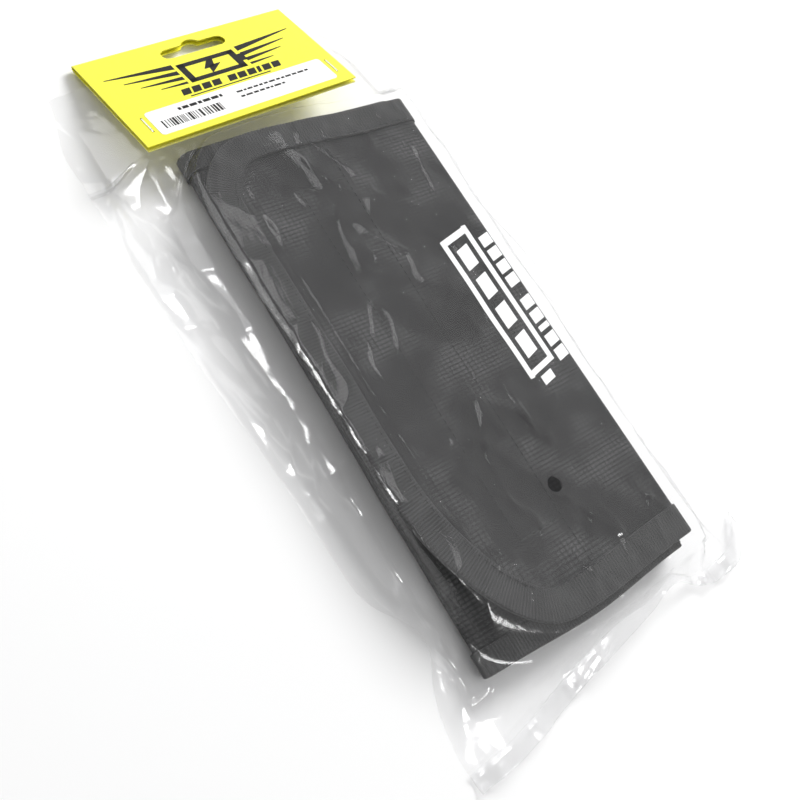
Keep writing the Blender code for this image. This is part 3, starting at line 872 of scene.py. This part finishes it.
def neck_ripple(x, u):
    ripple = 0.9 * noise(x / 8, u / 26, 71) + 0.9 * ridges(x / 12 + u / 20, u / 14, 73)
    return ripple * ease((np.abs(x - CARD_MIDDLE) - 54) / 6) * ease(u / 10)


def film_grid():
    """World points of the front film's body, and its neck in the header's frame."""
    columns, rows = 160, 240
    shares = np.linspace(0.0, 1.0, columns)
    end = header_hinge[1] - 0.7
    x = np.broadcast_to(FILM_LEFT + (FILM_RIGHT - FILM_LEFT) * shares, (rows, columns))
    climb = np.linspace(0.0, 1.0, rows)[:, None]
    for _ in range(3):
        start = bottom_edge(x[0]) + seal_width(x[0])
        y = start + (end - start) * climb
        left, right = film_sides(y)
        x = left + (right - left) * shares

    # Its last 32 mm climb to the neck, and the last 2.8 mm meet it.
    height, fall = tent_height(x, y)
    neck = header_hinge[2] - 0.3 - droop(x, 0.0)
    ramp = FILM_LOW + (neck - FILM_LOW) * ease((y - end) / 32.0 + 1)
    height = np.maximum(height, ramp)
    loose = ease(shares / 0.04) * ease((1 - shares) / 0.04)
    loose = loose * ease((y - y[0]) / 8.0) * ease((end - y) / 4.0)
    height = height + wrinkles(x, y, fall) * loose
    height = height + (neck - height) * ease((y - end) / 2.8 + 1)
    body = stack(x, y, height)

    us = np.linspace(1.0, NECK_END, 44)[:, None]
    left = x[-1, 0] + 8.0 * ease((us - 18) / 32)
    right = x[-1, -1] + 2.0 * hill((us - 22) / 12) - 1.5 * ease((us - 26) / 20)
    x = left + (right - left) * shares
    return body, x, np.broadcast_to(us, x.shape)


def film_object(name, *parts, flip=False):
    points = np.concatenate(parts)
    return new_object(name, points, grid_faces(*points.shape[:2], flip=flip))


def rear_parts(body, x, u, ripple):
    """The rear film: under the sack, up to the card, and behind the front film's neck."""
    # It meets the front film along both sides, and within 2.6 mm of the bottom edge.
    share = np.abs(np.linspace(-1, 1, body.shape[1]))
    above_edge = body[..., 1] - body[:1, :, 1]
    near = np.maximum(ease((share - 0.86) / 0.14), 1 - ease(above_edge / 2.6))
    lower = body.copy()
    lower[..., 2] = REAR_LEVEL + np.maximum(body[..., 2] - REAR_LEVEL - 0.12, 0.0) * near
    lower = np.concatenate([lower[:12], lower[12::3]])

    last = body[-1]
    top = from_header(last[:, 0], 1.0, NECK_REAR - droop(last[:, 0], 1.0))[:, 2]
    bottom = lower[-1, :, 2]
    climb = [stack(last[:, 0], header_hinge[1] - 0.5 + 1.5 * k, bottom + (top - bottom) * ease(k))
             for k in np.linspace(0.15, 1.0, 8)]
    edge = 0.5 * ease((share - 0.85) / 0.15)
    neck = from_header(x, u, NECK_REAR + edge - droop(x, u) + ripple)[1:]
    return lower, climb, neck


def build_polybag():
    body, x, u = film_grid()
    ripple = neck_ripple(x, u)
    neck = from_header(x, u, NECK_FRONT - droop(x, u) + ripple)
    front = film_object("film_front", body, neck)
    punch(front)
    rear = film_object("film_rear", *rear_parts(body, x, u, ripple), flip=True)

    for obj, look, nodes in (
            (front, "front_film", ("polybag_front_film", "polybag_neck_front_film")),
            (rear, "rear_film", ("polybag_rear_film", "polybag_shoulder_film",
                                 "polybag_neck_rear_film"))):
        obj.data.materials.append(looks[look])
        obj.visible_shadow = False
        obj.visible_diffuse = False
        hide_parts(*nodes)
        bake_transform(obj)

    seal = finish_piece(seal_strip(body[0]), "seal_film", "film", "polybag",
                        "polybag_bottom_seal")


def punch(obj):
    """The punched vent hole, cut out of the front film's mesh."""
    centre = Vector(VENT) * MM
    radius = VENT_RADIUS * MM
    work = bmesh.new()
    work.from_mesh(obj.data)
    near = [v for v in work.verts if (Vector(v.co[:2]) - centre).length < 2.2 * radius]
    faces = list({f for v in near for f in v.link_faces})
    edges = list({e for f in faces for e in f.edges})
    bmesh.ops.subdivide_edges(work, edges=edges, cuts=3, use_grid_fill=True)
    for vert in work.verts:
        out = Vector(vert.co[:2]) - centre
        if abs(out.length - radius) < 0.16 * MM:
            out = out.normalized() * radius
            vert.co.x, vert.co.y = centre.x + out.x, centre.y + out.y
    inside = [f for f in work.faces
              if (Vector(f.calc_center_median()[:2]) - centre).length < radius]
    bmesh.ops.delete(work, geom=inside, context="FACES")
    work.to_mesh(obj.data)
    work.free()


def seal_strip(edge_row):
    """The weld and the skirt of film below it, from the front film's first row down."""
    rows = []
    for share in np.linspace(0, 1, 15):
        row = edge_row.copy()
        width = seal_width(row[:, 0])
        row[:, 1] -= width * share
        press = 0.45 * hill((share * width - 0.8) / 0.5)
        wave = noise(row[:, 0] / 9 + 2 * share, 0 * row[:, 0] + share, 91)
        row[:, 2] = np.maximum(row[:, 2] + press + 0.9 * wave * share, 0.35 + press)
        rows.append(row)
    no_uv = np.zeros((len(rows), len(edge_row), 2))
    return shell("film_bottom_seal", np.array(rows), 0.12, no_uv)


# ---------------------------------------------------------------- header card

def card_surface(lift):
    return lambda x, u: from_header(x, u, CARD_FRONT + lift)


def box(x0, x1, u0, u1, slant=0.0):
    return [(x0, u0), (x1, u0), (x1 + slant, u1), (x0 + slant, u1)]


def mirror(quad):
    """The same shape on the other side of the card's middle."""
    return [(2 * CARD_MIDDLE - x, u) for x, u in reversed(quad)]


def emblem():
    """A battery with a bolt, between tapered stripes; below it a row of blocks and a rule."""
    low, high, left, right = 30.0, 43.5, -19.0, 9.5
    line, side = 2.6, 3.2
    quads = [box(left, right, low, low + line), box(left, right, high - line, high),
             box(left, left + side, low, high), box(right - side, right, low, high),
             box(right, right + line, 34.2, 39.3)]
    bolt = ([(-4.6, 36.0), (0.6, 36.0), (2.6, 41.4), (-0.4, 41.4)],
            [(-2.6, 32.2), (4.6, 37.6), (-0.8, 37.6), (-2.0, 36.0)])
    quads += [[(CARD_MIDDLE + x, u) for x, u in half] for half in bolt]
    base, point = left - 1.5, 0.5
    for tip, bottom, top, lean in ((-51.0, 41.2, 44.6, 2.2), (-45.0, 37.0, 39.8, 1.4),
                                   (-40.0, 33.2, 35.6, 0.6), (-33.0, 30.2, 31.8, 0.0)):
        stripe = [(base, bottom), (base, top), (tip, top + lean), (tip, top + lean - point)]
        quads += [stripe, mirror(stripe)]
    widths = (4.1, 4.1, 4.1, 4.1, 0, 4.1, 4.1, 4.1, 1.8, 4.1, 4.1)
    quads += [box(first, last, 23.9, 27.9, 1.0)
              for first, last in row_of_blocks(-27.0, widths, 2.0, 0.9)]
    quads.append(box(-24.5, 16.0, 22.1, 22.8))
    return quads


def label_print():
    """Made-up bars and plain lines, with no digits."""
    rng = np.random.default_rng(5)
    quads = []
    place = -44.5
    while place < -16.5:
        width = float(rng.choice([0.35, 0.35, 0.7, 1.05]))
        quads.append(box(place, place + width, 8.6, 13.6))
        place += width + float(rng.choice([0.4, 0.6, 0.95]))
    for u, place, end, height in ((16.4, -34.0, -12.0, 1.7), (15.6, -6.0, 32.0, 1.1),
                                  (12.2, -6.0, 16.0, 1.1)):
        while place < end:
            width = float(rng.uniform(1.2, 3.6))
            quads.append(box(place, place + width, u, u + height))
            place += width + 0.7
    return quads


def label_slab():
    """The label's paper, with small round corners."""
    half_x, half_u, corner = 44.4, 7.7, 1.6
    outline = []
    for sx, su, start in ((1, -1, -90), (1, 1, 0), (-1, 1, 90), (-1, -1, 180)):
        for angle in np.radians(np.linspace(start, start + 90, 6)):
            outline.append((LABEL_CENTRE[0] + sx * (half_x - corner) + corner * cos(angle),
                            LABEL_CENTRE[1] + su * (half_u - corner) + corner * sin(angle)))
    x, u = np.transpose(outline)
    points = np.concatenate([from_header(x, u, CARD_FRONT + lift) for lift in (0.01, 0.13)])
    faces = tube_faces(2, len(outline))
    return turn_out(new_object("label_paper", points, faces, smooth=False))


def staple(side):
    """Wire staple: flat crown on the card, legs through it and tips folded in behind."""
    x, u = STAPLES[side]
    half, top, low, turn = 4.55, CARD_FRONT + 0.2, CARD_REAR - 0.45, 0.45
    line = [(half - 3.6, low - 0.1), (half - turn, low), (half, low + turn),
            (half, top - turn), (half - turn * 0.3, top - turn * 0.3), (half - turn, top)]
    line = line + [(-a, b) for a, b in reversed(line)]
    line, = resample(np.array(line), 0.35)
    half_width, half_depth, sides = 0.299, 0.208, 8
    points = []
    for (a, b), (da, db) in zip(line, unit(np.gradient(line, axis=0))):
        for angle in np.linspace(0, 2 * pi, sides, endpoint=False):
            out = half_depth * sin(angle)
            points.append(from_header(x + half_width * cos(angle), u + a - db * out, b + da * out))
    obj = new_object("wire_staple_" + side, np.array(points), tube_faces(len(line), sides))
    finish_piece(turn_out(obj), "steel", "steel", "header", "staple_" + side)


def build_header():
    dress("header_card", "card")
    printed = patches("card_print", emblem(), card_surface(0.03), step=60.0)
    finish_piece(printed, "black", "card", "header")
    finish_piece(label_slab(), "paper", "label", "header", "barcode_label")
    printed = patches("label_print", label_print(), card_surface(0.16), step=60.0)
    finish_piece(printed, "black", "label", "header")
    for side in STAPLES:
        staple(side)


# ---------------------------------------------------------------- room, light and camera

def build_floor():
    mesh = bpy.data.meshes.new("floor")
    reach = 12.0
    mesh.from_pydata([(-reach, -reach, 0), (reach, -reach, 0), (reach, reach, 0),
                      (-reach, reach, 0)], [], [(0, 1, 2, 3)])
    floor = bpy.data.objects.new("floor", mesh)
    floor.location.z = -0.0002
    bpy.context.scene.collection.objects.link(floor)
    material, _, _, shader = new_material("pale_floor")
    set_inputs(shader, Base_Color=(0.92, 0.92, 0.92, 1.0), Roughness=0.9,
               Specular_IOR_Level=0.1)
    mesh.materials.append(material)


def build_world():
    """A pale studio all round, brighter towards the +X side."""
    world = bpy.data.worlds.new("studio")
    bpy.context.scene.world = world
    world.use_nodes = True
    nodes, links = world.node_tree.nodes, world.node_tree.links
    place = nodes.new("ShaderNodeTexCoord")
    parts = nodes.new("ShaderNodeSeparateXYZ")
    links.new(place.outputs["Generated"], parts.inputs[0])
    share = math_node(nodes, links, "MULTIPLY", parts.outputs["X"], 0.5)
    share = math_node(nodes, links, "ADD", share, 0.5)
    sky = colour_ramp(nodes, links, share, (0.2, 0.2, 0.2), (1.1, 1.1, 1.1), 0.1, 0.8)
    links.new(sky, nodes["Background"].inputs["Color"])
    set_inputs(nodes["Background"], Strength=0.85)


def softbox(name, direction, distance, size, radiance, mirrored):
    """A rectangular light aimed at the pack: it lights it or, mirrored, only shows in gloss."""
    data = bpy.data.lights.new(name, "AREA")
    data.shape = "RECTANGLE"
    data.size, data.size_y = size
    data.energy = radiance * pi * size[0] * size[1]
    light = bpy.data.objects.new(name, data)
    direction = Vector(direction).normalized()
    light.location = direction * distance
    light.rotation_mode = "QUATERNION"
    light.rotation_quaternion = direction.to_track_quat("Z", "Y")
    light.visible_glossy = mirrored
    light.visible_diffuse = not mirrored
    bpy.context.scene.collection.objects.link(light)


def build_camera():
    """The photograph's view, as solved from the pack's straight edges."""
    data = bpy.data.cameras.new("camera")
    data.sensor_width = 36.0
    data.lens = 41.6
    data.clip_start = 0.01
    camera = bpy.data.objects.new("camera", data)
    bpy.context.scene.collection.objects.link(camera)
    place = Vector((-205.4, -93.2, 317.4)) * MM
    azimuth, elevation, roll = radians(-70.85), radians(58.40), radians(37.74)
    back = Vector((sin(azimuth) * cos(elevation), -cos(azimuth) * cos(elevation),
                   sin(elevation)))
    right = (-back).cross(Vector((0, 0, 1))).normalized()
    up = right.cross(-back)
    side = cos(roll) * right + sin(roll) * up
    top = cos(roll) * up - sin(roll) * right
    turn = Matrix((side, top, back)).transposed()
    camera.matrix_world = Matrix.Translation(place) @ turn.to_4x4()
    bpy.context.scene.camera = camera


build_sack()
build_flap()
build_polybag()
build_header()
dress("flap_hook_strip", "hook")
dress("front_loop_strip", "loop")

build_floor()
build_world()
# Name, direction, distance, size, radiance, and whether it only shows in gloss.
softbox("key", (0.85, 0.34, 0.6), 1.6, (0.8, 0.6), 20.0, False)
softbox("side", (-0.85, 0.32, 0.49), 1.1, (0.2, 0.62), 24.0, True)
softbox("back", (-0.66, 0.63, 0.42), 1.5, (1.6, 1.1), 2.8, True)
softbox("corner", (-0.05, -0.5, 0.75), 1.4, (0.6, 0.5), 18.0, True)
softbox("top", (0.12, 0.3, 0.93), 1.3, (0.5, 0.7), 2.2, True)
build_camera()
bpy.context.scene.view_settings.view_transform = "Standard"
